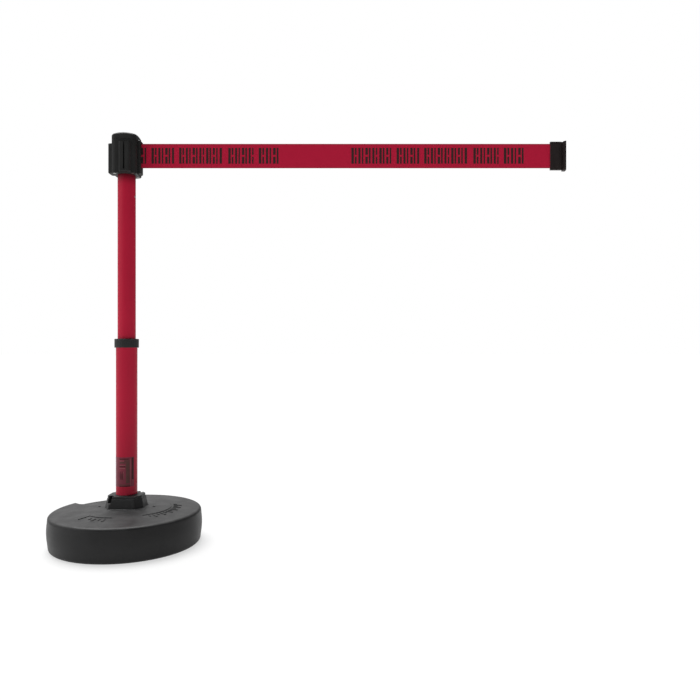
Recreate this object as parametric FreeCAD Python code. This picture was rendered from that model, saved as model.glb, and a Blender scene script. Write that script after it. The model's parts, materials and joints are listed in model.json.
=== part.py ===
"""Retractable belt stanchion: a fillable round base, a telescopic two-piece post with a
twist-lock collar, and a square head that holds a spring-wound belt.

Millimetres. +Z is up, +X is the way the belt pulls out, and the origin is on the floor at
the post's axis. Each function below makes one piece or one group of identical pieces.
"""

import FreeCAD
import Part
import math
import os

V = FreeCAD.Vector
UP = V(0, 0, 1)

# Base -------------------------------------------------------------------------------------
BASE_R = 192.6  # widest, at the parting line, before the side's curve
PARTING_Z = 44.0
SIDE_CURVE = 150.0  # the radius that joins the two drafted halves of the side
FOOT_R = 187.0  # the drafted side's radius at the floor
SIDE_R = 189.0  # and at the rim
RIM_Z = 85.0
CROWN_R, CROWN_Z = 62.0, 94.4  # where the shallow cone meets the boss
SHELL_T = 4.0
BOSS_TOP_Z = 120.0
BOSS_FOOT = ((50.0, 20.0), (35.0, 42.0))  # half widths at the chamfered corners
BOSS_HEAD = ((45.0, 17.0), (31.0, 37.0))
BOSS_FILLET = 5.0
WELL_R, WELL_FLOOR_Z = 31.7, 10.0
WELL_WALL = 4.0
COLLAR_Z0, COLLAR_TOP_Z = 120.1, 126.8
COLLAR_PLATE = ((43.8, 16.5), (30.6, 35.8))
SOCKET_R = 29.3
KEYWAY_W, KEYWAY_Z = 15.0, 108.5
KEYWAY_ANGLES = (-135.0, 45.0)
GRIP_ANGLE, GRIP_W, GRIP_DEPTH, GRIP_FLOOR_Z, GRIP_CORNER = 131.0, 151.0, 76.8, 75.0, 26.0
PORT_AT_R, PORT_R, PORT_SEAT_R, PORT_SEAT_Z = 154.0, 17.0, 27.0, 66.0
SAND_Z = 40.0
DIMPLE_X, DIMPLE_R = 71.0, 4.0
RIB_W, RIB_H = 2.0, 1.3
TICK_PITCH, TICK_W = 6.0, 1.6  # degrees apart, and degrees wide
RIB_GROUPS = (  # (centre, arc radius, arc angles, end line's length, tick angles, tick radii)
    ((0.0, 0.0), 108.0, (-125.0, -90.0), 32.0, (-115.0, -95.0), (121.0, 137.0)),
    ((15.0, 0.0), 97.0, (-58.0, 26.0), 0.0, (-51.0, 24.0), (104.0, 124.0)),
)
FIT_GAP = 0.2

# Post -------------------------------------------------------------------------------------
LOWER_R, LOWER_T = 26.8, 1.5
LOWER_FOOT_Z, LOWER_TOP_Z = 12.5, 515.0
SLEEVE_R, SLEEVE_TOP_Z = 29.0, 128.0
UPPER_R, UPPER_T = 22.6, 1.2
UPPER_FOOT_Z, SKIRT_Z = 440.0, 440.5
TWIST_R, TWIST_Z0, TWIST_Z1 = 30.4, 507.6, 530.4
LABEL_Z0, LABEL_Z1 = 150.0, 226.0
LABEL_FROM, LABEL_TO = -165.0, -30.0  # degrees round the tube; the front is -90

# Head -------------------------------------------------------------------------------------
HEAD_Z0, CAP_Z0, HEAD_Z1 = 955.5, 1042.0, 1064.3
HEAD_HALF, HEAD_CORNER, HEAD_T = 32.0, 14.0, 2.5
DOME_R, DOME_EDGE_R = 95.0, 8.0  # the cap's crowned top and its rounded edge
FLOOR_T = 4.0
BELT_Z, BELT_W, BELT_T = 1007.9, 63.5, 0.5
BELT_Y = 3.8  # the belt leaves the head this far behind the middle
STEM_R, STEM_BORE_R, STEM_Z0 = 21.3, 17.0, 880.0
BUTTON_Z, BUTTON_R = 901.0, 3.2
RECEIVER_X = 6.2  # each receiver sits this far round from the middle of its side
RECEIVER_OUT, RECEIVER_Z0, RECEIVER_Z1 = 42.2, 957.0, 1033.5
RECEIVER_ROOT, RECEIVER_FACE = 16.0, 13.4  # half widths at the casing and at the outer face
CHANNEL_HALF, CHANNEL_FLOOR_Z, CHANNEL_IN, CHANNEL_OUT = 11.0, 965.0, 33.3, 40.8
SLOT_W, SLOT_Z0 = 3.6, 962.0
NOSE_OUT, NOSE_HALF, NOSE_Z0, NOSE_Z1 = 38.0, 14.0, 958.5, 1047.0
SPINDLE_R = 4.0
HUB_R, FLANGE_R = 9.0, 27.4
ROLL_R = 24.1  # the wound belt's radius with just over a metre paid out
DRUM_Z0, DRUM_Z1, DRUM_R = 1041.6, 1053.0, 24.5
SCREW_AT = 23.2

# Belt end ---------------------------------------------------------------------------------
CLIP_X0, CLIP_X1, BAR_X0, BAR_X1 = 1103.8, 1131.5, 1136.4, 1143.6
CLIP_HALF_H, CLIP_HALF_T = 36.9, 3.4
BAR_ABOVE, BAR_BELOW, BAR_HALF_T = 38.0, 40.0, 9.5  # the bar reaches lower than it reaches up
BAR_TAPER = 2.5  # how far the bar's lower end slopes up towards its sides
NECK_HALF_T = 1.3
WEB_FRONT, WEB_Z0 = 1.6, 11.0  # the neck's thicker upper part, which still passes a slot


# Shape helpers ----------------------------------------------------------------------------
def rounded_wire(points, radii, place):
    """A closed wire through the points, each corner rounded by its own radius (0 is sharp)."""
    count = len(points)
    starts, ends, middles = [], [], []
    for i, (x, y) in enumerate(points):
        px, py = points[i - 1]
        nx, ny = points[(i + 1) % count]
        to_prev = V(px - x, py - y, 0).normalize()
        to_next = V(nx - x, ny - y, 0).normalize()
        here = V(x, y, 0)
        half = to_prev.getAngle(to_next) / 2
        radius = radii[i]
        if radius < 1e-6:
            starts.append(here)
            ends.append(here)
            middles.append(None)
            continue
        tangent = radius / math.tan(half)
        bisector = (to_prev + to_next).normalize()
        centre = here + bisector * (radius / math.sin(half))
        starts.append(here + to_prev * tangent)
        ends.append(here + to_next * tangent)
        middles.append(centre - bisector * radius)
    edges = []
    for i in range(count):
        if middles[i] is not None:
            arc = Part.Arc(place(starts[i]), place(middles[i]), place(ends[i]))
            edges.append(arc.toShape())
        after = starts[(i + 1) % count]
        if (after - ends[i]).Length > 1e-6:
            edges.append(Part.LineSegment(place(ends[i]), place(after)).toShape())
    return Part.Wire(edges)


def revolved(points, radii=None):
    """A solid of revolution about Z from (radius, height) points."""
    wire = rounded_wire(points, radii or [0] * len(points), lambda p: V(p.x, 0, p.y))
    return Part.Face(wire).revolve(V(0, 0, 0), UP, 360)


def prism(points, radii, z0, z1):
    """An upright prism from (x, y) points."""
    wire = rounded_wire(points, radii, lambda p: V(p.x, p.y, z0))
    return Part.Face(wire).extrude(V(0, 0, z1 - z0))


def rounded_square(half, corner, z0, z1):
    points = [(-half, -half), (half, -half), (half, half), (-half, half)]
    return prism(points, [corner] * 4, z0, z1)


def cylinder(radius, z0, z1, x=0.0, y=0.0):
    return Part.makeCylinder(radius, z1 - z0, V(x, y, z0), UP)


def rod(radius, start, end):
    """A cylinder from one point to another."""
    along = V(*end) - V(*start)
    return Part.makeCylinder(radius, along.Length, V(*start), along)


def ring(outer, inner, z0, z1, x=0.0, y=0.0):
    return cylinder(outer, z0, z1, x, y).cut(cylinder(inner, z0 - 1, z1 + 1, x, y))


def block(x0, x1, y0, y1, z0, z1):
    return Part.makeBox(x1 - x0, y1 - y0, z1 - z0, V(x0, y0, z0))


def turned(shape, degrees):
    copy = shape.copy()
    copy.rotate(V(0, 0, 0), UP, degrees)
    return copy


def rounded_edges(shape, radius, wanted):
    """The shape with a fillet on each edge whose middle point passes the test."""
    edges = [e for e in shape.Edges if wanted(e.CenterOfMass)]
    return shape.makeFillet(radius, edges)


def sector(outer, inner, z0, z1, start, end):
    """Part of a ring, from one angle to another in degrees."""
    piece = Part.makeCylinder(outer, z1 - z0, V(0, 0, z0), UP, end - start)
    piece = piece.cut(cylinder(inner, z0 - 1, z1 + 1))
    return turned(piece, start)


def polar(radius, degrees):
    angle = math.radians(degrees)
    return radius * math.cos(angle), radius * math.sin(angle)


def countersunk_screw(head_r, shank_r, head_h, length):
    """A screw that points down -Z, with its flat head's top at the origin."""
    head = Part.makeCone(shank_r, head_r, head_h, V(0, 0, -head_h), UP)
    screw = head.fuse(cylinder(shank_r, -length, -head_h))
    drive = block(-head_r * 0.6, head_r * 0.6, -0.4, 0.4, -0.8, 0.1)
    return screw.cut(drive.fuse(turned(drive, 90))).removeSplitter()


def screw_hole(head_r, shank_r, head_h, length, gap=0.1):
    head = Part.makeCone(shank_r + gap, head_r + gap, head_h, V(0, 0, -head_h), UP)
    shank = cylinder(shank_r + gap, -length - gap, -head_h)
    return head.fuse(shank).fuse(cylinder(head_r + gap, 0, 2.0))


def placed(shape, axis, point, turn=0.0):
    """The shape with its +Z turned onto an axis and its origin moved to a point."""
    copy = shape.copy()
    spin = FreeCAD.Rotation(UP, V(*axis)).multiply(FreeCAD.Rotation(UP, turn))
    copy.Placement = FreeCAD.Placement(V(*point), spin)
    return copy


# Base -------------------------------------------------------------------------------------
def octagon_points(corners):
    (ax, ay), (bx, by) = corners
    return [(ax, -ay), (ax, ay), (bx, by), (-bx, by), (-ax, ay), (-ax, -ay), (-bx, -by), (bx, -by)]


def octagon_wire(corners, z):
    return rounded_wire(octagon_points(corners), [5.0] * 8, lambda p: V(p.x, p.y, z))


def grip_pocket(margin=0.0):
    """The hand recess in the back of the rim, where the filler cap sits."""
    inner = BASE_R - GRIP_DEPTH - margin
    half = GRIP_W / 2 + margin
    low = GRIP_FLOOR_Z - margin
    points = [(inner, -half + 3), (BASE_R + 20, -half), (BASE_R + 20, half), (inner, half - 3)]
    pocket = prism(points, [GRIP_CORNER, 0, 0, GRIP_CORNER], low, RIM_Z + 30)
    x, y = polar(PORT_AT_R, 0)
    seat = cylinder(PORT_SEAT_R + margin, PORT_SEAT_Z - margin, RIM_Z + 30, x, y)
    return turned(pocket.fuse(seat), GRIP_ANGLE)


def keyways():
    cuts = []
    for angle in KEYWAY_ANGLES:
        slot = block(SOCKET_R - 3, 66, -KEYWAY_W / 2, KEYWAY_W / 2, KEYWAY_Z, COLLAR_TOP_Z + 5)
        cuts.append(turned(slot, angle))
    return cuts[0].fuse(cuts[1])


def crown_z(radius):
    """The height of the shallow cone at a radius."""
    return RIM_Z + (SIDE_R - radius) * (CROWN_Z - RIM_Z) / (SIDE_R - CROWN_R)


def level_ribs():
    """Raised arcs with tick blocks beside them, moulded on the crown."""
    edge = SIDE_R - 10
    band = revolved([(CROWN_R, CROWN_Z - 2), (edge, crown_z(edge) - 2), (edge, crown_z(edge) + RIB_H),
                     (CROWN_R, CROWN_Z + RIB_H)])
    ribs = []
    for centre, radius, (start, end), end_line, (first, last), (near, far) in RIB_GROUPS:
        blocks = [sector(radius + RIB_W, radius, 70, 110, start, end)]
        if end_line:
            blocks.append(sector(radius + end_line, radius, 70, 110, start, start + 1))
        for i in range(int((last - first) / TICK_PITCH) + 1):
            at = first + TICK_PITCH * i
            reach = far if i % 2 else (near + far) / 2
            blocks.append(sector(reach, near, 70, 110, at, at + TICK_W))
        for raised in blocks:
            raised.translate(V(*centre, 0))
            ribs.append(band.common(raised))
    return ribs


def at_boss_foot(point):
    """Whether an edge's middle lies where the boss rises out of the crown."""
    return abs(point.z - CROWN_Z) < 1e-3 and math.hypot(point.x, point.y) > 15


def base_shell():
    outer = revolved(
        [(0, 0), (FOOT_R, 0), (BASE_R, PARTING_Z), (SIDE_R, RIM_Z), (CROWN_R, CROWN_Z), (0, CROWN_Z)],
        [0, 9, SIDE_CURVE, 8, 0, 0],
    )
    boss = Part.makeLoft([octagon_wire(BOSS_FOOT, 93.0), octagon_wire(BOSS_HEAD, BOSS_TOP_Z)], True, True)
    boss = rounded_edges(boss, 2.0, lambda c: abs(c.z - BOSS_TOP_Z) < 1e-6)
    outer = rounded_edges(outer.fuse(boss), BOSS_FILLET, at_boss_foot)
    inside = revolved(
        [
            (WELL_R + WELL_WALL, SHELL_T),
            (FOOT_R - SHELL_T - 1, SHELL_T),
            (BASE_R - SHELL_T, PARTING_Z),
            (SIDE_R - SHELL_T - 1, RIM_Z - SHELL_T),
            (CROWN_R, CROWN_Z - SHELL_T - 1),
            (WELL_R + WELL_WALL, CROWN_Z - SHELL_T - 1),
        ],
        [3, 6, 0, 5, 0, 3],
    )
    port_x, port_y = polar(PORT_AT_R, GRIP_ANGLE)
    neck = cylinder(PORT_R + 3.5, 48, PORT_SEAT_Z, port_x, port_y)
    inside = inside.cut(grip_pocket(SHELL_T)).cut(neck)
    shell = outer.cut(inside).cut(grip_pocket())
    shell = shell.cut(cylinder(WELL_R, WELL_FLOOR_Z, BOSS_TOP_Z + 5)).cut(keyways())
    shell = shell.cut(cylinder(PORT_R, 40, PORT_SEAT_Z + 5, port_x, port_y))
    for side in (-1, 1):
        shell = shell.cut(cylinder(DIMPLE_R, 90, 110, side * DIMPLE_X, 0))
    groove = ring(142, 62, -1, 1.5)
    shell = shell.cut(groove)
    for rib in level_ribs():
        shell = shell.fuse(rib)
    return shell.removeSplitter()


def ballast_fill():
    """The fill that weighs the base down, lying level."""
    inner = WELL_R + WELL_WALL + FIT_GAP
    low = SHELL_T + FIT_GAP
    side = FOOT_R - SHELL_T - 1 - FIT_GAP
    return revolved([(inner, low + 3), (inner + 3, low), (side - 6, low), (side, low + 6), (side + 3.6, SAND_Z),
                     (inner, SAND_Z)])


def socket_collar():
    """The keyed liner that the post's foot drops into, with its plate on top of the boss."""
    plate = prism(octagon_points(COLLAR_PLATE), [5.0] * 8, COLLAR_Z0, COLLAR_TOP_Z)
    plate = rounded_edges(plate, 1.6, lambda c: abs(c.z - COLLAR_TOP_Z) < 1e-6)
    plate = plate.cut(cylinder(SOCKET_R, COLLAR_Z0 - 1, COLLAR_TOP_Z + 1))
    liner = ring(WELL_R - FIT_GAP, SOCKET_R, WELL_FLOOR_Z + FIT_GAP, BOSS_TOP_Z + 0.5)
    return plate.fuse(liner).cut(keyways()).removeSplitter()


def filler_gasket():
    x, y = polar(PORT_AT_R, GRIP_ANGLE)
    return ring(24.0, PORT_R + 0.3, PORT_SEAT_Z + 0.1, PORT_SEAT_Z + 2.0, x, y)


def filler_cap():
    x, y = polar(PORT_AT_R, GRIP_ANGLE)
    plug = revolved(
        [(0, 52), (PORT_R - 0.3, 52), (PORT_R - 0.3, 68.1), (25, 68.1), (25, 76), (0, 76)],
        [0, 2, 0, 1, 2, 0],
    )
    bore = revolved([(0, 51), (13.5, 51), (13.5, 66), (0, 66)])
    plug = plug.cut(bore)
    slot_depth = 4.5
    well = revolved([(9, 76 - slot_depth), (21, 76 - slot_depth), (21, 78), (9, 78)], [1.5, 1.5, 0, 0])
    plug = plug.cut(well).fuse(block(-21.5, 21.5, -3.2, 3.2, 71, 76))
    for i in range(24):
        plug = plug.cut(cylinder(1.3, 68, 77, *polar(25.6, i * 15)))
    plug.translate(V(x, y, 0))
    return plug.removeSplitter()


# Post -------------------------------------------------------------------------------------
def lower_tube():
    tube = ring(LOWER_R, LOWER_R - LOWER_T, LOWER_FOOT_Z, LOWER_TOP_Z)
    for side in (-1, 1):
        tube = tube.cut(rod(2.1, (0, side * 20, 60), (0, side * 30, 60)))
    return tube


def foot_sleeve():
    """The moulded foot round the bottom of the lower tube, with its two keys."""
    bore = LOWER_R + 0.05
    sleeve = revolved(
        [(0, 10.4), (SLEEVE_R, 10.4), (SLEEVE_R, SLEEVE_TOP_Z), (bore, SLEEVE_TOP_Z), (bore, 12.4), (0, 12.4)],
        [0, 1.5, 0.8, 0, 0, 0],
    )
    for angle in KEYWAY_ANGLES:
        half = KEYWAY_W / 2 - 0.6
        key = block(SLEEVE_R - 1, 36.0, -half, half, KEYWAY_Z + 0.4, SLEEVE_TOP_Z - 1)
        sleeve = sleeve.fuse(turned(key, angle))
    for side in (-1, 1):
        sleeve = sleeve.cut(rod(2.1, (0, side * 20, 60), (0, side * 30, 60)))
    return sleeve.removeSplitter()


def foot_rivets():
    inner = LOWER_R - LOWER_T
    rivets = []
    for side in (-1, 1):
        shank = rod(2.0, (0, side * (inner - 1), 60), (0, side * (SLEEVE_R - 0.1), 60))
        head = rod(3.4, (0, side * (inner - 1.5), 60), (0, side * (inner - 0.35), 60))
        rivets.append(shank.fuse(head).removeSplitter())
    return Part.makeCompound(rivets)


def post_label():
    return sector(LOWER_R + 0.3, LOWER_R + 0.02, LABEL_Z0, LABEL_Z1, LABEL_FROM, LABEL_TO)


def tube_ferrule():
    """The threaded insert on top of the lower tube. Its long skirt guides the upper tube,
    and the guide bush meets the skirt's end at full height."""
    outer = LOWER_R - LOWER_T - 0.1
    bore = UPPER_R + 0.3
    body = revolved(
        [(LOWER_R + 0.05, 508.6), (27.9, 508.6), (27.9, 518.2), (bore, 518.2), (bore, SKIRT_Z),
         (outer, SKIRT_Z), (outer, 515.1), (LOWER_R + 0.05, 515.1)],
        [0, 0.4, 0.4, 0.3, 0.3, 0.3, 0, 0],
    )
    threads = []
    for z in (510.5, 513.0, 515.5):
        threads.append(revolved([(27.7, z - 0.7), (28.4, z - 0.15), (28.4, z + 0.15), (27.7, z + 0.7)]))
    return body.multiFuse(threads).removeSplitter()


def lock_collet():
    """The split cone that the collar squeezes onto the upper tube."""
    bore = UPPER_R + 0.2
    cone = revolved([(bore, 518.3), (26.9, 518.3), (26.9, 519.6), (24.3, 526.0), (bore, 526.0)],
                    [0.3, 0.3, 0, 0.3, 0.3])
    return cone.cut(block(0, 30, -1.5, 1.5, 515, 530))


def twist_collar():
    body = revolved(
        [(28.8, TWIST_Z0), (TWIST_R, TWIST_Z0), (TWIST_R, TWIST_Z1), (UPPER_R + 0.6, TWIST_Z1),
         (UPPER_R + 0.6, 526.6), (24.8, 526.6), (27.4, 519.7), (28.8, 519.0)],
        [0, 0.7, 1.2, 0.5, 0, 0, 0, 0],
    )
    for i in range(36):
        x, y = polar(TWIST_R + 0.5, i * 10)
        body = body.cut(cylinder(1.1, TWIST_Z0 + 2.5, TWIST_Z1 - 2.5, x, y))
    return body


def upper_tube():
    tube = ring(UPPER_R, UPPER_R - UPPER_T, UPPER_FOOT_Z, HEAD_Z0 - 0.1)
    return tube.cut(rod(4.2, (15, 0, BUTTON_Z), (25, 0, BUTTON_Z)))


def guide_bush():
    """The slip bush that plugs the upper tube's foot and centres it in the lower tube."""
    tip = UPPER_R - UPPER_T - 0.05
    outer = LOWER_R - LOWER_T - 0.15
    return revolved(
        [(15, 436), (outer, 436), (outer, UPPER_FOOT_Z - 0.1), (tip, UPPER_FOOT_Z - 0.1), (tip, 456),
         (17.5, 456), (15, 450)],
        [0, 0.8, 0.3, 0, 0.8, 0, 0],
    )


# Head -------------------------------------------------------------------------------------
def corner_points(at):
    return [(sx * at, sy * at) for sx in (-1, 1) for sy in (-1, 1)]


def head_stem():
    """The floor of the head and the stem that plugs into the upper tube."""
    plate = rounded_square(HEAD_HALF - HEAD_T - FIT_GAP, HEAD_CORNER - HEAD_T, HEAD_Z0, HEAD_Z0 + FLOOR_T)
    stem = revolved(
        [(0, 950), (0, HEAD_Z0 + 1), (STEM_R, HEAD_Z0 + 1), (STEM_R, STEM_Z0), (STEM_BORE_R, STEM_Z0),
         (STEM_BORE_R, 950)],
        [0, 0, 0, 2.0, 0.5, 2.0],
    )
    boss = revolved([(0, HEAD_Z0 + 1), (9, HEAD_Z0 + 1), (8, 966), (0, 966)])
    body = plate.fuse(stem).fuse(boss)
    body = body.cut(cylinder(SPINDLE_R + 0.02, 940, 970))
    body = body.cut(rod(BUTTON_R + 0.3, (10, 0, BUTTON_Z), (25, 0, BUTTON_Z)))
    for x, y in corner_points(SCREW_AT):
        body = body.cut(placed(screw_hole(3.4, 1.5, 2.0, 18), (0, 0, -1), (x, y, HEAD_Z0)))
    return body.removeSplitter()


def around_head(shape):
    """A front (-Y) feature copied onto the left and the back of the head."""
    return {"front": shape, "left": turned(shape, -90), "back": turned(shape, 180)}


def receiver_screw_places():
    """(axis, point) of each screw in the front receiver's back wall."""
    return [((0, -1, 0), (RECEIVER_X + dx, -CHANNEL_IN, z)) for dx in (-6.5, 6.5) for z in (984.0, 1014.0)]


def front_receiver_screws(make):
    shape = make(2.2, 1.1, 1.1, 3.8)
    return [placed(shape, axis, point) for axis, point in receiver_screw_places()]


def receiver_holes():
    holes = []
    for hole in front_receiver_screws(screw_hole):
        holes.extend(around_head(hole).values())
    return holes


def head_casing():
    outer = rounded_square(HEAD_HALF, HEAD_CORNER, HEAD_Z0, CAP_Z0 - 0.3)
    outer = outer.makeChamfer(1.2, [e for e in outer.Edges if abs(e.BoundBox.ZMax - HEAD_Z0) < 1e-6])
    outer = outer.makeChamfer(0.5, [e for e in outer.Edges if abs(e.BoundBox.ZMin - (CAP_Z0 - 0.3)) < 1e-6])
    body = outer.cut(rounded_square(HEAD_HALF - HEAD_T, HEAD_CORNER - HEAD_T, HEAD_Z0 - 1, CAP_Z0 + 1))
    for x, y in corner_points(SCREW_AT):
        column = cylinder(4.9, HEAD_Z0 + FLOOR_T + 0.1, 1034, x, y)
        body = body.fuse(column.cut(cylinder(1.6, 950, 980, x, y)))
    body = body.cut(block(20, 40, BELT_Y - 4, BELT_Y + 12, 970, 1041))
    return body.cut(receiver_holes()[0].multiFuse(receiver_holes()[1:])).removeSplitter()


def cap_form(half, corner, top_z, edge_r):
    """A rounded square with a crowned top and a rounded edge round it."""
    body = rounded_square(half, corner, CAP_Z0, top_z + 1)
    body = body.common(Part.makeSphere(DOME_R, V(0, 0, top_z - DOME_R)))
    return rounded_edges(body, edge_r, lambda c: c.z > top_z - 9)


def head_cap():
    outer = cap_form(HEAD_HALF, HEAD_CORNER, HEAD_Z1, DOME_EDGE_R)
    outer = outer.makeChamfer(0.5, [e for e in outer.Edges if abs(e.BoundBox.ZMax - CAP_Z0) < 1e-6])
    inner = cap_form(HEAD_HALF - HEAD_T, HEAD_CORNER - HEAD_T, HEAD_Z1 - HEAD_T, DOME_EDGE_R - HEAD_T)
    shell = outer.cut(inner)
    inside, corner = HEAD_HALF - HEAD_T, HEAD_CORNER - HEAD_T
    skirt = rounded_square(inside - FIT_GAP, corner, 1036.5, CAP_Z0 + 3)
    skirt = skirt.fuse(rounded_square(inside + 0.3, corner, CAP_Z0 + 0.8, CAP_Z0 + 3))
    skirt = skirt.cut(rounded_square(inside - 1.6, corner - 1, 1030, CAP_Z0 + 10))
    for side in (0, 90, 180, 270):
        skirt = skirt.cut(turned(block(22, 40, -19, 19, 1030, CAP_Z0 + 0.01), side))
    return shell.fuse(skirt).removeSplitter()


def receiver(which):
    """A keyhole channel that takes another post's belt end from above."""
    middle, out, root_y = RECEIVER_X, RECEIVER_OUT, -HEAD_HALF + 3
    body = prism(
        [(middle - RECEIVER_ROOT, root_y), (middle - RECEIVER_FACE, -out), (middle + RECEIVER_FACE, -out),
         (middle + RECEIVER_ROOT, root_y)],
        [0, 5, 5, 0], RECEIVER_Z0, RECEIVER_Z1)
    body = body.makeChamfer(2.0, [e for e in body.Edges
                                  if abs(e.BoundBox.ZMax - RECEIVER_Z0) < 1e-6 and e.CenterOfMass.y < -33])
    body = body.cut(rounded_square(HEAD_HALF + 0.1, HEAD_CORNER + 0.1, RECEIVER_Z0 - 1, RECEIVER_Z1 + 1))
    channel = prism(
        [(middle - CHANNEL_HALF, -CHANNEL_IN), (middle - CHANNEL_HALF, -CHANNEL_OUT),
         (middle + CHANNEL_HALF, -CHANNEL_OUT), (middle + CHANNEL_HALF, -CHANNEL_IN)],
        [0, 2, 2, 0], CHANNEL_FLOOR_Z, RECEIVER_Z1 + 1)
    half_slot = SLOT_W / 2
    slot = block(middle - half_slot, middle + half_slot, -out - 1, -CHANNEL_OUT + 0.5, SLOT_Z0, RECEIVER_Z1 + 1)
    body = body.cut(channel).cut(slot)
    for hole in front_receiver_screws(screw_hole):
        body = body.cut(hole)
    return around_head(body)[which]


def receiver_screws():
    screws = []
    for screw in front_receiver_screws(countersunk_screw):
        screws.extend(around_head(screw).values())
    return Part.makeCompound(screws)


def floor_screws():
    shape = countersunk_screw(3.4, 1.5, 2.0, 18)
    places = [(x, y, HEAD_Z0 + 0.05) for x, y in corner_points(SCREW_AT)]
    return Part.makeCompound([placed(shape, (0, 0, -1), place) for place in places])


def belt_guide():
    """The nose on the belt's side of the head, with the slot that the belt runs out of."""
    points = [(HEAD_HALF + 0.1, BELT_Y - NOSE_HALF), (NOSE_OUT, BELT_Y - NOSE_HALF),
              (NOSE_OUT, BELT_Y + NOSE_HALF), (HEAD_HALF + 0.1, BELT_Y + NOSE_HALF)]
    body = prism(points, [0, 4, 4, 0], NOSE_Z0, NOSE_Z1)
    body = body.makeChamfer(2.5, [e for e in body.Edges if e.CenterOfMass.x > 33
                                  and (e.BoundBox.ZMax - NOSE_Z0 < 1e-6 or NOSE_Z1 - e.BoundBox.ZMin < 1e-6)])
    low, high = BELT_Z - BELT_W / 2 - 2.6, BELT_Z + BELT_W / 2 + 2.6
    slot = block(25, 45, BELT_Y - 1.6, BELT_Y + 1.6, low, high)
    mouth = Part.makeLoft([
        Part.makePolygon([V(x, BELT_Y - w, low - e), V(x, BELT_Y + w, low - e), V(x, BELT_Y + w, high + e),
                          V(x, BELT_Y - w, high + e), V(x, BELT_Y - w, low - e)])
        for x, w, e in ((NOSE_OUT - 2.5, 1.6, 0.0), (NOSE_OUT + 0.1, 4.4, 1.6))
    ], True, True)
    return body.cut(slot).cut(mouth)


def spindle():
    """The fixed steel axle, threaded at its foot and slotted at its top for the spring."""
    axle = cylinder(SPINDLE_R, 950.5, 1056.2)
    groove = ring(SPINDLE_R + 1, SPINDLE_R - 0.7, 1054.8, 1055.7)
    return axle.cut(groove).cut(block(-5, 5, -0.5, 0.5, 1042, 1054))


def spindle_nut():
    points = [polar(7.5, 60 * i) for i in range(6)]
    return prism(points, [0] * 6, 944.9, 949.9).cut(cylinder(SPINDLE_R - 0.6, 940, 960))


def spindle_clip():
    body = ring(6.8, SPINDLE_R - 0.6, 1054.9, 1055.6)
    return body.cut(block(0, 10, -2.6, 2.6, 1050, 1060))


def thrust_washer():
    return ring(9.0, SPINDLE_R + 0.1, 966.05, 966.9)


def spool():
    """Hub, two flanges and the spring drum on top, in one moulding."""
    bore = 6.6
    return revolved(
        [(bore, 967.2), (HUB_R + 1, 967.2), (HUB_R + 1, 971.2), (FLANGE_R, 971.2), (FLANGE_R, 973.0),
         (HUB_R, 973.0), (HUB_R, 1040.0), (FLANGE_R, 1040.0), (FLANGE_R, DRUM_Z0), (DRUM_R, DRUM_Z0),
         (DRUM_R, DRUM_Z1), (DRUM_R - 1.3, DRUM_Z1), (DRUM_R - 1.3, DRUM_Z0), (bore, DRUM_Z0)],
        [0.4, 0.4, 0, 0.6, 0.6, 0.3, 0.3, 0.6, 0.5, 0, 0.2, 0, 0, 0.4],
    )


def spool_bushes():
    """The two flanged bearing bushes between the hub and the spindle."""
    lower = revolved([(SPINDLE_R + 0.05, 967.0), (6.55, 967.0), (6.55, 976), (SPINDLE_R + 0.05, 976)],
                     [0.2, 0.2, 0.3, 0.2])
    upper = revolved([(SPINDLE_R + 0.05, 1032), (6.55, 1032), (6.55, 1041.4), (SPINDLE_R + 0.05, 1041.4)],
                     [0.2, 0.3, 0.2, 0.2])
    return Part.makeCompound([lower, upper])


def belt_roll():
    return ring(ROLL_R, HUB_R + 0.1, BELT_Z - BELT_W / 2, BELT_Z + BELT_W / 2)


def spiral_wire(start_r, pitch, half_turns, z):
    """Half circles about alternating centres, which make one smooth spiral."""
    edges = []
    for i in range(half_turns):
        radius = start_r + i * pitch / 2
        centre = 0.0 if i % 2 == 0 else pitch / 2
        side = 1 if i % 2 == 0 else -1
        edges.append(Part.Arc(V(centre + side * radius, 0, z), V(centre, side * radius, z),
                              V(centre - side * radius, 0, z)).toShape())
    return edges


def power_spring():
    """The flat spiral spring between the slotted spindle and the drum."""
    inner_r, pitch, half_turns, thick = 6.0, 1.9, 17, 0.6
    z0, z1 = 1043.0, 1051.5
    inner = spiral_wire(inner_r, pitch, half_turns, z0)
    outer = spiral_wire(inner_r + thick, pitch, half_turns, z0)
    start = Part.LineSegment(inner[0].Vertexes[0].Point, outer[0].Vertexes[0].Point).toShape()
    end = Part.LineSegment(inner[-1].Vertexes[-1].Point, outer[-1].Vertexes[-1].Point).toShape()
    wire = Part.Wire(Part.__sortEdges__([*inner, end, *outer, start]))
    strip = Part.Face(wire).extrude(V(0, 0, z1 - z0))
    inner_tang = block(-3.5, inner_r + thick, -0.4, 0.0, z0, z1)
    outer_tang = block(-DRUM_R + 1.35, -21.2, 0.0, thick, z0, z1)
    return strip.fuse(inner_tang).fuse(outer_tang).removeSplitter()


def spring_cover():
    return ring(DRUM_R, 6.0, DRUM_Z1 + 0.1, DRUM_Z1 + 1.3)


def belt_lead():
    """The belt between the roll's tangent and the nose."""
    radius = ROLL_R + BELT_T / 2 + 0.1
    end = V(NOSE_OUT - 4.5, BELT_Y, 0)
    reach = end.Length
    tangent_angle = math.atan2(end.y, end.x) + math.acos(radius / reach)
    start = V(radius * math.cos(tangent_angle), radius * math.sin(tangent_angle), 0)
    along = end - start
    strip = block(0, along.Length, -BELT_T / 2, BELT_T / 2, -BELT_W / 2, BELT_W / 2)
    strip.rotate(V(0, 0, 0), UP, math.degrees(math.atan2(along.y, along.x)))
    strip.translate(start + V(0, 0, BELT_Z))
    return strip


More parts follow.
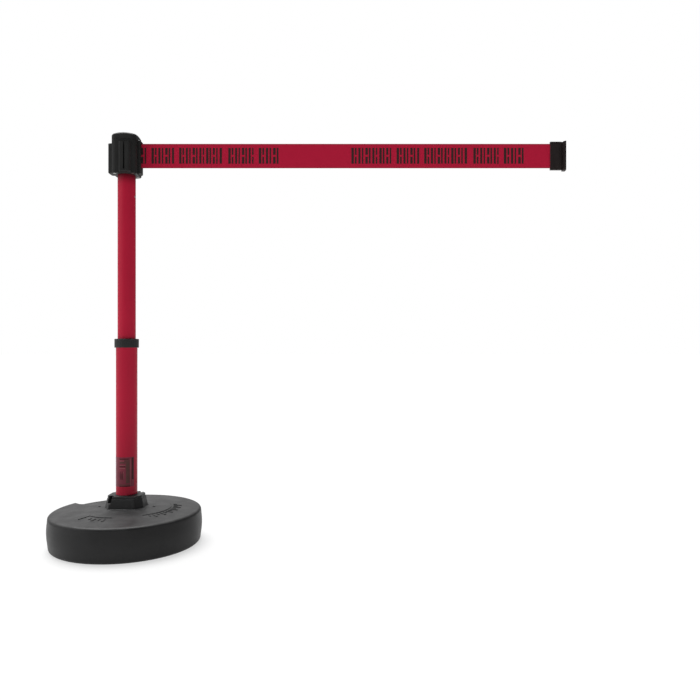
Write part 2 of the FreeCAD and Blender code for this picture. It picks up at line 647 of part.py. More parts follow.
def belt_run():
    """The belt from the nose to inside the belt end."""
    strip = block(NOSE_OUT - 4.3, CLIP_X0 + 20, BELT_Y - BELT_T / 2, BELT_Y + BELT_T / 2, BELT_Z - BELT_W / 2,
                  BELT_Z + BELT_W / 2)
    for z in clip_screw_heights():
        strip = strip.cut(rod(1.7, (CLIP_X0 + 13, -20, z), (CLIP_X0 + 13, 30, z)))
    return strip


# Belt end ---------------------------------------------------------------------------------
def clip_screw_heights():
    return (BELT_Z - 22, BELT_Z, BELT_Z + 22)


def clip_screw_set(make):
    """One of a screw or its hole at each of the belt end's screw places, from the back."""
    shape = make(2.8, 1.4, 1.4, 5.6)
    places = [(CLIP_X0 + 13, BELT_Y + CLIP_HALF_T, z) for z in clip_screw_heights()]
    return [placed(shape, (0, 1, 0), place) for place in places]


def clip_bar():
    """The upright bar, with its lower end tapered to find a receiver's channel."""
    low, high = BELT_Z - BAR_BELOW, BELT_Z + BAR_ABOVE
    side = rounded_wire([(BAR_X0, low + 1.8), (BAR_X1, low), (BAR_X1, high), (BAR_X0, high - 1.8)],
                        [0.5, 1.2, 1.2, 0.5], lambda p: V(p.x, BELT_Y - BAR_HALF_T, p.y))
    bar = Part.Face(side).extrude(V(0, 2 * BAR_HALF_T, 0))
    front, back = BELT_Y - BAR_HALF_T, BELT_Y + BAR_HALF_T
    outline = [(front, low + BAR_TAPER), (BELT_Y - 3, low), (BELT_Y + 3, low), (back, low + BAR_TAPER),
               (back, high), (front, high)]
    end = rounded_wire(outline, [2, 2, 2, 2, 0.6, 0.6], lambda p: V(BAR_X0 - 1, p.x, p.y))
    return bar.common(Part.Face(end).extrude(V(BAR_X1 - BAR_X0 + 2, 0, 0)))


def clip_body():
    """The back half of the belt end, with the neck and the bar that a receiver holds."""
    y0, y1 = BELT_Y - CLIP_HALF_T, BELT_Y + CLIP_HALF_T
    z0, z1 = BELT_Z - CLIP_HALF_H, BELT_Z + CLIP_HALF_H
    body = block(CLIP_X0, CLIP_X1, y0, y1, z0, z1)
    body = rounded_edges(body, 1.0, lambda c: c.x < CLIP_X0 + 1e-6 or abs(c.x - (CLIP_X0 + CLIP_X1) / 2) < 1e-6)
    pocket = block(CLIP_X0 - 1, CLIP_X0 + 25, y0 - 1, BELT_Y + BELT_T / 2 + 0.05, BELT_Z - 32.4, BELT_Z + 32.4)
    body = body.cut(pocket)
    neck = block(CLIP_X1 - 1, BAR_X0 + 1, BELT_Y - NECK_HALF_T, BELT_Y + NECK_HALF_T, z0 + 0.3, z1 - 0.3)
    web = block(CLIP_X1 - 1, BAR_X0 + 1, BELT_Y - WEB_FRONT, BELT_Y + NECK_HALF_T, BELT_Z + WEB_Z0, z1 - 0.3)
    body = body.fuse(neck).fuse(web).fuse(clip_bar())
    for hole in clip_screw_set(screw_hole):
        body = body.cut(hole)
    return body.removeSplitter()


def clip_cover():
    y0 = BELT_Y - CLIP_HALF_T
    body = block(CLIP_X0 + 0.4, CLIP_X0 + 24.8, y0, BELT_Y - BELT_T / 2 - 0.05, BELT_Z - 32.2, BELT_Z + 32.2)
    body = body.makeChamfer(0.5, [e for e in body.Edges if abs(e.BoundBox.YMax - y0) < 1e-6])
    for hole in clip_screw_set(screw_hole):
        body = body.cut(hole)
    return body


def clip_screws():
    return Part.makeCompound(clip_screw_set(countersunk_screw))


# Head lock --------------------------------------------------------------------------------
def lock_button():
    """The snap button that holds the head's stem in the upper tube."""
    pin = rod(BUTTON_R, (14, 0, BUTTON_Z), (UPPER_R - 0.3, 0, BUTTON_Z))
    tip = [e for e in pin.Edges if e.CenterOfMass.x > UPPER_R - 0.4]
    pin = pin.makeFillet(1.0, tip)
    return pin.fuse(rod(5.0, (12.4, 0, BUTTON_Z), (14.6, 0, BUTTON_Z))).removeSplitter()


def button_spring():
    """The bent leaf that pushes the button out."""
    thick, half_w = 0.6, 3.5
    points = [(12.2, BUTTON_Z + 4), (12.2, BUTTON_Z - 4), (0, BUTTON_Z - 14), (-16.5, BUTTON_Z - 4),
              (-16.5, BUTTON_Z + 8), (-15.9, BUTTON_Z + 8), (-15.9, BUTTON_Z - 3.6), (0, BUTTON_Z - 13.2),
              (11.6, BUTTON_Z - 3.7), (11.6, BUTTON_Z + 4)]
    wire = rounded_wire(points, [0, 2, 3, 2, 0, 0, 1.4, 2.4, 1.4, 0], lambda p: V(p.x, -half_w, p.y))
    return Part.Face(wire).extrude(V(0, 2 * half_w, 0))


PIECES = {
    "base_shell": base_shell,
    "ballast_fill": ballast_fill,
    "socket_collar": socket_collar,
    "filler_gasket": filler_gasket,
    "filler_cap": filler_cap,
    "lower_tube": lower_tube,
    "foot_sleeve": foot_sleeve,
    "foot_rivets": foot_rivets,
    "post_label": post_label,
    "tube_ferrule": tube_ferrule,
    "lock_collet": lock_collet,
    "twist_collar": twist_collar,
    "upper_tube": upper_tube,
    "guide_bush": guide_bush,
    "head_stem": head_stem,
    "head_casing": head_casing,
    "head_cap": head_cap,
    "receiver_front": lambda: receiver("front"),
    "receiver_left": lambda: receiver("left"),
    "receiver_back": lambda: receiver("back"),
    "receiver_screws": receiver_screws,
    "floor_screws": floor_screws,
    "belt_guide": belt_guide,
    "spindle": spindle,
    "spindle_nut": spindle_nut,
    "spindle_clip": spindle_clip,
    "thrust_washer": thrust_washer,
    "spool": spool,
    "spool_bushes": spool_bushes,
    "belt_roll": belt_roll,
    "power_spring": power_spring,
    "spring_cover": spring_cover,
    "belt_lead": belt_lead,
    "belt_run": belt_run,
    "clip_body": clip_body,
    "clip_cover": clip_cover,
    "clip_screws": clip_screws,
    "lock_button": lock_button,
    "button_spring": button_spring,
}


def main():
    os.makedirs("parts", exist_ok=True)
    for name, make in PIECES.items():
        shape = make()
        solids = shape.Solids
        valid = shape.isValid() and all(s.isClosed() and s.Volume > 0 for s in solids)
        print(f"{name:16s} solids {len(solids)}  volume {shape.Volume / 1000:9.2f} cm3  valid {valid}")
        shape.exportStep(f"parts/{name}.step")


main()
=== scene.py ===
"""Looks for the retractable belt stanchion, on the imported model's own frame.

The CAD nodes keep their shapes and get procedural materials here. The belt and the printed
label on the lower tube are built below. Metres throughout, +X the way the belt pulls out.
"""

import json
import math

import bmesh
import bpy
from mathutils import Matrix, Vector


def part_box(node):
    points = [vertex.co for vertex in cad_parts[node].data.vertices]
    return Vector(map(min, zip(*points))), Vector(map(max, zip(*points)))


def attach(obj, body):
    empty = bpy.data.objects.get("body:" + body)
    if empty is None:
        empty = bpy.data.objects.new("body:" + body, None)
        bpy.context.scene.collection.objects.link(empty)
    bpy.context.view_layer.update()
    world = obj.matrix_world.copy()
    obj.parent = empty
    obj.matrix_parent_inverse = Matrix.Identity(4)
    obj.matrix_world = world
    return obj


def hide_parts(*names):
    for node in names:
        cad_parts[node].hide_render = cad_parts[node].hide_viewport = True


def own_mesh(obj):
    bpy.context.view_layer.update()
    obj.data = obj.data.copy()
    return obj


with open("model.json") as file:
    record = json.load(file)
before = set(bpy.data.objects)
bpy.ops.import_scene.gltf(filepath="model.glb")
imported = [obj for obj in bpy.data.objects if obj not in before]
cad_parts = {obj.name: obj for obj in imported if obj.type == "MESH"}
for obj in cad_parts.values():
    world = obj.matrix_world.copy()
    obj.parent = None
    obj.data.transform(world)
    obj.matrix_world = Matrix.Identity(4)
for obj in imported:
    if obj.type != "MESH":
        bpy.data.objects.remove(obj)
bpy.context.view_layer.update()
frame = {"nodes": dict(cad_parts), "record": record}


# Node helpers -----------------------------------------------------------------------------
# Cosines between the real normal and one that is rounded over the nearest edge.
FLAT, ROUNDED = 0.97, 0.8


def set_range(node, low, high, to_low, to_high):
    """Makes a map-range node step smoothly, from to_low at low to to_high at high."""
    node.interpolation_type = "SMOOTHSTEP"
    numbers = {"From Min": low, "From Max": high, "To Min": to_low, "To Max": to_high}
    for socket, number in numbers.items():
        node.inputs[socket].default_value = number


class Look:
    """A material built from nodes, with short calls for the nodes that recur."""

    def __init__(self, name, color, rough, metallic=0.0, **sockets):
        self.mat = bpy.data.materials.new(name)
        self.mat.use_nodes = True
        self.tree = self.mat.node_tree
        self.tree.nodes.clear()
        out = self.tree.nodes.new("ShaderNodeOutputMaterial")
        self.shader = self.tree.nodes.new("ShaderNodeBsdfPrincipled")
        self.link(self.shader.outputs[0], out.inputs[0])
        self.shader.inputs["Base Color"].default_value = (*color, 1)
        self.shader.inputs["Roughness"].default_value = rough
        self.shader.inputs["Metallic"].default_value = metallic
        for socket, value in sockets.items():
            self.shader.inputs[socket.replace("_", " ")].default_value = value
        self.point = self.add("ShaderNodeTexCoord").outputs["Object"]
        self.normal = None
        self.mat.diffuse_color = (*color, 1)

    def link(self, a, b):
        self.tree.links.new(a, b)

    def add(self, kind, links=None, **settings):
        node = self.tree.nodes.new(kind)
        for key, value in settings.items():
            if hasattr(node, key):
                setattr(node, key, value)
            else:
                node.inputs[key.replace("_", " ")].default_value = value
        for key, source in (links or {}).items():
            self.link(source, node.inputs[key])
        return node

    def scaled(self, x, y, z):
        """The coordinates stretched by their own factor along each axis."""
        node = self.add("ShaderNodeMapping", {"Vector": self.point})
        node.inputs["Scale"].default_value = (x, y, z)
        return node.outputs[0]

    def noise(self, scale, detail=3.0, rough=0.5, point=None):
        node = self.add("ShaderNodeTexNoise", {"Vector": point or self.point},
                        Scale=scale, Detail=detail, Roughness=rough)
        return node.outputs["Fac"]

    def cells(self, scale):
        node = self.add("ShaderNodeTexVoronoi", {"Vector": self.point}, Scale=scale)
        return node.outputs["Distance"]

    def bands(self, direction, scale, distortion, point=None):
        """Evenly spaced soft lines."""
        node = self.add("ShaderNodeTexWave", {"Vector": point or self.point}, wave_type="BANDS",
                        bands_direction=direction, Scale=scale, Distortion=distortion, Detail=1.0)
        return node.outputs["Fac"]

    def height(self):
        return self.add("ShaderNodeSeparateXYZ", {"Vector": self.point}).outputs["Z"]

    def ramp(self, value, low, high, to_low=0.0, to_high=1.0):
        """A smooth step, from to_low where value is low to to_high where it is high."""
        node = self.add("ShaderNodeMapRange", {"Value": value})
        set_range(node, low, high, to_low, to_high)
        return node.outputs[0]

    def math(self, operation, a, b):
        """One arithmetic step; a and b may each be a number or a socket."""
        node = self.add("ShaderNodeMath", operation=operation)
        for socket, value in zip(node.inputs, (a, b)):
            if isinstance(value, (int, float)):
                socket.default_value = value
            else:
                self.link(value, socket)
        return node.outputs[0]

    def mix(self, share, a, b):
        """A colour between two colours; each may be a tuple or a socket."""
        node = self.add("ShaderNodeMix", {"Factor": share}, data_type="RGBA")
        for socket, value in ((node.inputs[6], a), (node.inputs[7], b)):
            if isinstance(value, tuple):
                socket.default_value = value if len(value) == 4 else (*value, 1)
            else:
                self.link(value, socket)
        return node.outputs[2]

    def bump(self, height, strength, depth):
        """One more layer of relief. depth is the real height in metres."""
        links = {"Height": height}
        if self.normal is not None:
            links["Normal"] = self.normal
        node = self.add("ShaderNodeBump", links, Strength=strength, Distance=depth)
        self.normal = node.outputs[0]

    def edges(self, radius):
        """1 along the solid's edges, falling to 0 a radius away from them."""
        bevel = self.add("ShaderNodeBevel", samples=4, Radius=radius)
        plain = self.add("ShaderNodeNewGeometry")
        dot = self.add("ShaderNodeVectorMath", operation="DOT_PRODUCT")
        self.link(bevel.outputs[0], dot.inputs[0])
        self.link(plain.outputs["Normal"], dot.inputs[1])
        return self.ramp(dot.outputs["Value"], FLAT, ROUNDED)

    def up(self):
        """1 where the surface faces up, falling to 0 where it leans by 60 degrees."""
        geometry = self.add("ShaderNodeNewGeometry")
        split = self.add("ShaderNodeSeparateXYZ", {"Vector": geometry.outputs["Normal"]})
        return self.ramp(split.outputs["Z"], 0.5, 0.95)

    def done(self, color, rough=None):
        self.link(color, self.shader.inputs["Base Color"])
        if rough is not None:
            self.link(rough, self.shader.inputs["Roughness"])
        if self.normal is not None:
            self.link(self.normal, self.shader.inputs["Normal"])
        return self.mat


def tint(color, factor):
    return tuple(c * factor for c in color)


# Materials --------------------------------------------------------------------------------
DUST = (0.2, 0.2, 0.2)
BARE_STEEL = (0.3, 0.27, 0.26)
PAINTED_LIGHT_BAND = 0.006  # the height over which the plastic is painted paler, as painted light
HEAD_SHADOW_BAND = 0.057  # the height over which the head's painted shadow darkens the tube
HEAD_SHADOW_POWER = 3.5  # so that most of the painted shadow is at the band's top
DRAWN_LINES = (40, 40, 900)


def moulded(name, color, rough, grain=1400.0, depth=0.00004, wear=0.35, dust=0.0, gloss=0.3,
            painted_light_above=None):
    """Moulded plastic: a fine leather-like grain, cloudy colour, rubbed edges and a little dust.

    What stands higher than the given height is painted paler, as painted light.
    """
    look = Look(name, color, rough, Specular_IOR_Level=gloss)
    look.bump(look.cells(grain), 0.5, depth)
    look.bump(look.noise(90, 4), 0.18, 0.0004)
    cloud = look.noise(14, 5, 0.6)
    tone = look.mix(look.ramp(cloud, 0.3, 0.7), tint(color, 0.86), tint(color, 1.14))
    touched = look.ramp(look.noise(60, 4), 0.35, 0.75, 0, wear)
    rubbed = look.math("MULTIPLY", look.edges(0.0009), touched)
    tone = look.mix(rubbed, tone, tint(color, 2.3))
    scuff = look.noise(1.0, 6, 0.65, look.scaled(30, 260, 60))
    patches = look.ramp(look.noise(9, 2), 0.5, 0.68, 0, 0.4)
    marks = look.math("MULTIPLY", look.ramp(scuff, 0.62, 0.74), patches)
    tone = look.mix(marks, tone, tint(color, 1.7))
    # painted light: the plastic above the given height is painted paler
    if painted_light_above is not None:
        painted_light = look.ramp(look.height(), painted_light_above, painted_light_above + PAINTED_LIGHT_BAND, 0, 0.8)
        tone = look.mix(painted_light, tone, tint(color, 2.1))
    if dust:
        layer = look.ramp(look.noise(22, 6, 0.7), 0.3, 0.8, 0.2 * dust, dust)
        tone = look.mix(look.math("MULTIPLY", look.up(), layer), tone, DUST)
    return look.done(tone, look.ramp(cloud, 0.3, 0.75, rough - 0.06, rough + 0.07))


def painted(name, color, head_shadow_above):
    """Smooth enamel on tube: faint orange peel, rubbed rings, and the head's painted shadow up top.
    """
    look = Look(name, color, 0.36, Specular_IOR_Level=0.12)
    look.bump(look.noise(420, 2), 0.12, 0.00006)
    look.bump(look.noise(40, 3), 0.1, 0.0002)
    cloud = look.noise(6, 4)
    tone = look.mix(look.ramp(cloud, 0.3, 0.7), tint(color, 0.94), tint(color, 1.05))
    rings = look.noise(1.0, 5, 0.6, look.scaled(18, 18, 700))
    patches = look.ramp(look.noise(16, 3), 0.48, 0.7, 0, 0.22)
    rubs = look.math("MULTIPLY", look.ramp(rings, 0.62, 0.72), patches)
    tone = look.mix(rubs, tone, tint(color, 1.5))
    chips = look.ramp(look.noise(130, 4), 0.4, 0.7, 0, 0.5)
    worn = look.math("MULTIPLY", look.edges(0.0007), chips)
    tone = look.mix(worn, tone, BARE_STEEL)
    # painted shadow of the head: the tube is painted darker towards its top, just under the head
    head_shadow = look.ramp(look.height(), head_shadow_above, head_shadow_above + HEAD_SHADOW_BAND)
    tone = look.mix(look.math("POWER", head_shadow, HEAD_SHADOW_POWER), tone, tint(color, 0.2))
    return look.done(tone, look.ramp(cloud, 0.3, 0.7, 0.32, 0.42))


def webbing(name, color):
    """Woven polyester: warp ribs along the belt, crossed by a finer weft."""
    look = Look(name, color, 0.72, Specular_IOR_Level=0.12,
                Sheen_Weight=0.02, Sheen_Roughness=0.45)
    warp = look.bands("Z", 220.0, 0.25)
    weft = look.bands("DIAGONAL", 420.0, 0.3, look.scaled(1, 0, 1))
    weave = look.math("MULTIPLY", warp, weft)
    look.bump(weave, 0.55, 0.00014)
    look.bump(look.noise(30, 3), 0.15, 0.0006)
    cloud = look.noise(25, 4)
    tone = look.mix(weave, tint(color, 0.82), tint(color, 1.12))
    tone = look.mix(look.ramp(cloud, 0.35, 0.7, 0, 0.3), tone, tint(color, 0.88))
    return look.done(tone)


def metal(name, color, rough):
    """Plated or bare metal, with drawn streaks and a few dull spots."""
    look = Look(name, color, rough, metallic=1.0)
    lines = look.noise(1.0, 4, 0.6, look.scaled(*DRAWN_LINES))
    look.bump(lines, 0.2, 0.00003)
    spots = look.ramp(look.noise(200, 3), 0.6, 0.75, 0, 0.4)
    tone = look.mix(look.ramp(lines, 0.3, 0.7), tint(color, 0.8), tint(color, 1.1))
    tone = look.mix(spots, tone, tint(color, 0.55))
    return look.done(tone, look.ramp(lines, 0.3, 0.7, rough - 0.08, rough + 0.1))


def rubber(name, color):
    """Matt moulded rubber with a pale bloom."""
    look = Look(name, color, 0.8)
    look.bump(look.noise(900, 3), 0.4, 0.00005)
    bloom = look.ramp(look.noise(60, 5), 0.45, 0.75, 0, 0.35)
    return look.done(look.mix(bloom, color, tint(color, 3.0)))


def sand(name, color):
    """Loose grains, with painted light on their tops and painted shade between them."""
    look = Look(name, color, 0.9)
    grains = look.cells(1800)
    look.bump(grains, 0.9, 0.0005)
    # painted light on the grains' tops and painted shade between them
    tone = look.mix(look.ramp(grains, 0.1, 0.7), tint(color, 1.2), tint(color, 0.6))
    return look.done(tone)


def film(name, color, rough=0.35):
    """Printed label film, a little uneven where it has been smoothed on."""
    look = Look(name, color, rough, Specular_IOR_Level=0.25)
    look.bump(look.noise(150, 3), 0.2, 0.0001)
    faded = look.ramp(look.noise(80, 5), 0.35, 0.75, 0, 0.5)
    return look.done(look.mix(faded, color, tint(color, 1.35)))


RED = (0.505, 0.0135, 0.0445)
BELT_RED = (0.562, 0.0112, 0.0495)

LOOKS = {
    # the boss above 0.096 m is painted paler, as painted light
    "base_plastic": moulded("base_plastic_look", (0.0225, 0.0225, 0.0228), 0.45, 900, 0.00008,
                            dust=0.25, gloss=0.16, painted_light_above=0.096),
    "trim_plastic": moulded("trim_plastic_look", (0.022, 0.023, 0.023), 0.45, 1600),
    "head_plastic": moulded("head_plastic_look", (0.026, 0.026, 0.0255), 0.48, 1700,
                            dust=0.05, gloss=0.1),
    "clip_plastic": moulded("clip_plastic_look", (0.02, 0.014, 0.014), 0.42, 1700),
    "nylon": moulded("nylon_look", (0.62, 0.61, 0.57), 0.45, 1800, wear=0.0),
    "seal_rubber": rubber("seal_rubber_look", (0.012, 0.012, 0.012)),
    "ballast": sand("ballast_look", (0.42, 0.35, 0.25)),
    # the tube's top is painted darker, as the head's painted shadow
    "post_paint": painted("post_paint_look", RED, head_shadow_above=0.9),
    "zinc_steel": metal("zinc_steel_look", (0.6, 0.6, 0.58), 0.35),
    "spring_steel": metal("spring_steel_look", (0.33, 0.35, 0.4), 0.3),
    "brass": metal("brass_look", (0.72, 0.53, 0.25), 0.35),
    "belt_webbing": webbing("belt_webbing_look", BELT_RED),
    "label_film": film("label_film_look", (0.2, 0.02, 0.042)),
}
SELVEDGE = webbing("belt_selvedge_look", tint(BELT_RED, 0.72))
BELT_INK = webbing("belt_ink_look", (0.052, 0.021, 0.021))
LABEL_DARK = film("label_dark_look", (0.05, 0.002, 0.004), 0.5)
LABEL_BROWN = film("label_brown_look", (0.1, 0.036, 0.032), 0.5)
LABEL_PALE = film("label_pale_look", (0.27, 0.07, 0.08), 0.5)

for entry in frame["record"]["subparts"]:
    node = frame["nodes"][entry["node"]]
    node.data.materials.clear()
    node.data.materials.append(LOOKS[entry["material_slot"]])


# Mesh helpers -----------------------------------------------------------------------------
def to_mesh(name, bm):
    mesh = bpy.data.meshes.new(name)
    bm.to_mesh(mesh)
    bm.free()
    return mesh


def new_object(name, mesh, materials):
    for material in materials:
        mesh.materials.append(material)
    piece = bpy.data.objects.new(name, mesh)
    bpy.context.scene.collection.objects.link(piece)
    return piece


def shorten(piece, joint, low, high):
    """Gives the piece a mesh of its own; the joint and the ends are not used."""
    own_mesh(piece)


# Button spring ----------------------------------------------------------------------------
def button_leaf():
    """The leaf spring under the button, which bends when pressed, as a piece of its own."""
    node = frame["nodes"]["button_spring"]
    piece = new_object("button_leaf", node.data.copy(), [])
    piece.matrix_world = node.matrix_world.copy()
    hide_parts("button_spring")
    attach(piece, "post_upper")
    shorten(piece, "button_press", *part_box("button_spring"))


# Belt -------------------------------------------------------------------------------------
# The print is blocks of plain upright bars, in two runs one period apart. PRINT_START is
# where the second run starts. Each block is (where it starts in its run, width, bars). Every
# third bar is split in the middle, and the bars' widths come in turn from BAR_SHARES, as
# shares of their spacing.
PRINT_PERIOD = 0.640
PRINT_START = 0.5855
PRINT_BLOCKS = (
    (0.0, 0.104, 12),
    (0.118, 0.059, 7),
    (0.190, 0.112, 13),
    (0.3185, 0.066, 8),
    (0.398, 0.0515, 6),
)
PRINT_LOW, PRINT_HIGH = -0.020, 0.0215  # from the belt's middle
BAR_SHARES = (0.72, 0.5, 0.62, 0.44)
HALF_SPLIT = 0.0024
CLEAR_START, CLEAR_END = 0.001, 0.004  # the belt's ends stay free of print
SELVEDGE_WIDTH = 0.0022
FIELD_SHARE = 0.82  # the woven field's thickness, as a share of the selvedge's
CLOTH, INK, EDGE = 0, 1, 2
INKED_ROWS = {"whole": (2, 3, 4), "split": (2, 4), None: ()}


def print_bars(x_low, x_high):
    """(left, right, whether split) of each bar, in metres along the belt."""
    bars = []
    for run in (-1, 0):
        start = PRINT_START + run * PRINT_PERIOD
        for offset, width, count in PRINT_BLOCKS:
            pitch = width / (count - 1 + BAR_SHARES[(count - 1) % len(BAR_SHARES)])
            for i in range(count):
                left = start + offset + i * pitch
                right = left + pitch * BAR_SHARES[i % len(BAR_SHARES)]
                if left > x_low + CLEAR_START and right < x_high - CLEAR_END:
                    bars.append((left, right, i % 3 == 1))
    return bars


def belt_columns(x_low, x_high):
    """(x, how the strip that starts there is printed) of each line across the belt."""
    columns = [(x_low, None)]
    for left, right, split in print_bars(x_low, x_high):
        columns.append((left, "split" if split else "whole"))
        columns.append((right, None))
    columns.append((x_high, None))
    return columns


def belt_rows(low, high):
    """(z, share of the full thickness) of each line along the belt."""
    centre = (low + high) / 2
    split_at = centre + (PRINT_LOW + PRINT_HIGH) / 2
    return (
        (low, 1.0),
        (low + SELVEDGE_WIDTH, 1.0),
        (centre + PRINT_LOW, FIELD_SHARE),
        (split_at - HALF_SPLIT, FIELD_SHARE),
        (split_at + HALF_SPLIT, FIELD_SHARE),
        (centre + PRINT_HIGH, FIELD_SHARE),
        (high - SELVEDGE_WIDTH, 1.0),
        (high, 1.0),
    )


def belt():
    """The webbing between the head and the belt end, with its print woven into the grid."""
    low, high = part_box("belt_run")
    middle = (low.y + high.y) / 2
    half = (high.y - low.y) / 2
    columns = belt_columns(low.x, high.x)
    rows = belt_rows(low.z, high.z)
    last = len(rows) - 1

    bm = bmesh.new()
    front, back = (
        [[bm.verts.new((x, middle + side * half * share, z)) for z, share in rows]
         for x, _ in columns]
        for side in (-1, 1)
    )
    for i, (_, printed) in enumerate(columns[:-1]):
        for row in range(last):
            if row in (0, last - 1):
                index = EDGE
            else:
                index = INK if row in INKED_ROWS[printed] else CLOTH
            quads = (
                (front[i][row], front[i + 1][row], front[i + 1][row + 1], front[i][row + 1]),
                (back[i][row + 1], back[i + 1][row + 1], back[i + 1][row], back[i][row]),
            )
            for quad in quads:
                bm.faces.new(quad).material_index = index
    for i in range(len(columns) - 1):
        bm.faces.new((front[i][last], front[i + 1][last], back[i + 1][last], back[i][last]))
        bm.faces.new((back[i][0], back[i + 1][0], front[i + 1][0], front[i][0]))
    for row in range(last):
        bm.faces.new((front[0][row], front[0][row + 1], back[0][row + 1], back[0][row]))
        bm.faces.new((back[-1][row], back[-1][row + 1], front[-1][row + 1], front[-1][row]))
    bmesh.ops.recalc_face_normals(bm, faces=bm.faces)
    materials = [LOOKS["belt_webbing"], BELT_INK, SELVEDGE]
    piece = new_object("belt", to_mesh("belt", bm), materials)
    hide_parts("belt_run")
    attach(piece, "post_upper")
    shorten(piece, "belt_pull", low, high)


# Label ------------------------------------------------------------------------------------
# Each mark is (first angle, last angle, bottom, top, material), with the angles in degrees
# round the tube, whose front is -90, and the heights as shares of the label's height.
FILM, DARK, BROWN, PALE = 0, 1, 2, 3
LABEL_MARKS = (
    (-45, -33, 0.24, 0.98, DARK),
    (-53, -49.5, 0.05, 0.94, PALE),
    (-112, -52, 0.05, 0.08, BROWN),
    (-112, -54, 0.005, 0.035, DARK),
    (-76, -56, 0.12, 0.84, BROWN),
    (-84, -56, 0.85, 0.9, BROWN),
    (-112, -61, 0.92, 0.955, DARK),
    (-112, -86, 0.86, 0.885, PALE),
    (-112, -78, 0.79, 0.84, BROWN),
    (-112, -78, 0.715, 0.74, PALE),
    (-112, -79, 0.665, 0.7, DARK),
    (-112, -80, 0.61, 0.635, PALE),
    (-89, -86.5, 0.27, 0.52, PALE),
)
TICK_START, TICK_STEP, TICK_WIDTH, TICKS = -109, 5.5, 3.2, 4
TICK_LOW, TICK_HIGH, TICK_STAGGER = 0.25, 0.52, 0.07
FACET = 3  # degrees
FILM_INSET, MARK_INSET = 0.00012, 0.00004  # from the label's outer face


def on_tube(radius, degrees, z):
    angle = math.radians(degrees)
    return radius * math.cos(angle), radius * math.sin(angle), z


def curved_patch(bm, radius, start, end, z0, z1, index):
    """A patch of cylinder, fine enough to look round."""
    steps = max(1, math.ceil((end - start) / FACET))
    previous = None
    for i in range(steps + 1):
        degrees = start + (end - start) * i / steps
        pair = [bm.verts.new(on_tube(radius, degrees, z)) for z in (z0, z1)]
        if previous:
            face = bm.faces.new((previous[0], pair[0], pair[1], previous[1]))
            face.material_index = index
            face.smooth = True
        previous = pair


def label():
    """A printed film with plain bars and blocks, on the front of the lower tube."""
    low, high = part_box("post_label")
    radius = -low.y
    left, right = (-math.degrees(math.acos(x / radius)) for x in (low.x, high.x))
    height = high.z - low.z
    bm = bmesh.new()
    curved_patch(bm, radius - FILM_INSET, left, right, low.z, high.z, FILM)
    marks = list(LABEL_MARKS)
    for i in range(TICKS):
        at = TICK_START + i * TICK_STEP
        marks.append((at, at + TICK_WIDTH, TICK_LOW, TICK_HIGH - TICK_STAGGER * (i % 2), DARK))
    for first, last, bottom, top, index in marks:
        z0, z1 = low.z + height * bottom, low.z + height * top
        curved_patch(bm, radius - MARK_INSET, first, last, z0, z1, index)
    materials = [LOOKS["label_film"], LABEL_DARK, LABEL_BROWN, LABEL_PALE]
    piece = new_object("tube_label", to_mesh("tube_label", bm), materials)
    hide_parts("post_label")
    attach(piece, "post_lower")


button_leaf()
belt()
label()


# Stage ------------------------------------------------------------------------------------
WHITE = (1, 1, 1, 1)
FLOOR_HALF = 60
FLOOR_GREYS = ((0.24, 0.24, 0.24), (0.26, 0.26, 0.26))
FLOOR_GLOW = 0.62  # the floor is a light table, so shadows on it are faint
SOFTBOX_SIDE = (-0.85, 0.4, 0.4)
DIM, BRIGHT = 0.09, 0.62
DIM_BELOW, BRIGHT_ABOVE = -0.1, 0.95  # cosines of the angle from SOFTBOX_SIDE
EYE = (0.5818, -1.743, 0.5015)
LENS, SENSOR = 34.4, 36.0


def soft_light(name, strength, spread, direction):
    """A distant light that is as wide as spread in degrees."""
    sun = bpy.data.lights.new(name, "SUN")
    sun.energy = strength
    sun.angle = math.radians(spread)
    light = bpy.data.objects.new(name, sun)
    light.rotation_euler = Vector(direction).to_track_quat("-Z", "Y").to_euler()
    bpy.context.scene.collection.objects.link(light)


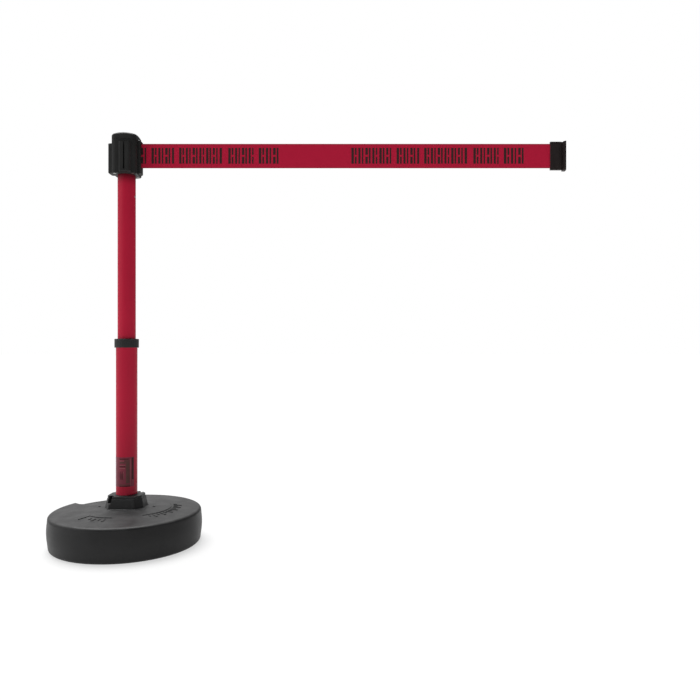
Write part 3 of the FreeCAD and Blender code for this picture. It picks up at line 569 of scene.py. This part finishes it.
def stage():
    """The floor, the two lights and the world."""
    bm = bmesh.new()
    bmesh.ops.create_grid(bm, x_segments=1, y_segments=1, size=FLOOR_HALF)
    mesh = to_mesh("floor", bm)
    look = Look("floor_look", (0.25, 0.25, 0.25), 0.9, Specular_IOR_Level=0.0,
                Emission_Strength=FLOOR_GLOW)
    look.shader.inputs["Emission Color"].default_value = WHITE
    mesh.materials.append(look.done(look.mix(look.noise(3), *FLOOR_GREYS)))
    floor = bpy.data.objects.new("floor", mesh)
    bpy.context.scene.collection.objects.link(floor)

    soft_light("overhead", strength=4.6, spread=38, direction=(0.18, -0.28, -1))
    soft_light("fill", strength=0.44, spread=50, direction=(0.85, 0.55, -0.25))
    bpy.context.scene.world = studio_world()
    bpy.context.scene.view_settings.view_transform = "Standard"


def studio_world():
    """White behind the object, and a soft gradient of light that is brightest at SOFTBOX_SIDE."""
    world = bpy.data.worlds.new("studio")
    world.use_nodes = True
    tree = world.node_tree
    tree.nodes.clear()
    out = tree.nodes.new("ShaderNodeOutputWorld")
    seen = tree.nodes.new("ShaderNodeBackground")
    lit = tree.nodes.new("ShaderNodeBackground")
    for background in (seen, lit):
        background.inputs["Color"].default_value = WHITE
    direction = tree.nodes.new("ShaderNodeTexCoord")
    toward = tree.nodes.new("ShaderNodeVectorMath")
    toward.operation = "DOT_PRODUCT"
    toward.inputs[1].default_value = Vector(SOFTBOX_SIDE).normalized()
    tree.links.new(direction.outputs["Generated"], toward.inputs[0])
    strength = tree.nodes.new("ShaderNodeMapRange")
    set_range(strength, DIM_BELOW, BRIGHT_ABOVE, DIM, BRIGHT)
    tree.links.new(toward.outputs["Value"], strength.inputs["Value"])
    tree.links.new(strength.outputs[0], lit.inputs["Strength"])
    mix = tree.nodes.new("ShaderNodeMixShader")
    path = tree.nodes.new("ShaderNodeLightPath")
    tree.links.new(path.outputs["Is Camera Ray"], mix.inputs[0])
    tree.links.new(lit.outputs[0], mix.inputs[1])
    tree.links.new(seen.outputs[0], mix.inputs[2])
    tree.links.new(mix.outputs[0], out.inputs["Surface"])
    return world


def camera():
    """Level, and as high as the middle of the post."""
    data = bpy.data.cameras.new("camera")
    data.sensor_width = SENSOR
    data.lens = LENS
    data.clip_end = 200
    eye = bpy.data.objects.new("camera", data)
    eye.location = EYE
    eye.rotation_euler = (math.radians(90), 0, 0)
    bpy.context.scene.collection.objects.link(eye)
    bpy.context.scene.camera = eye


stage()
camera()
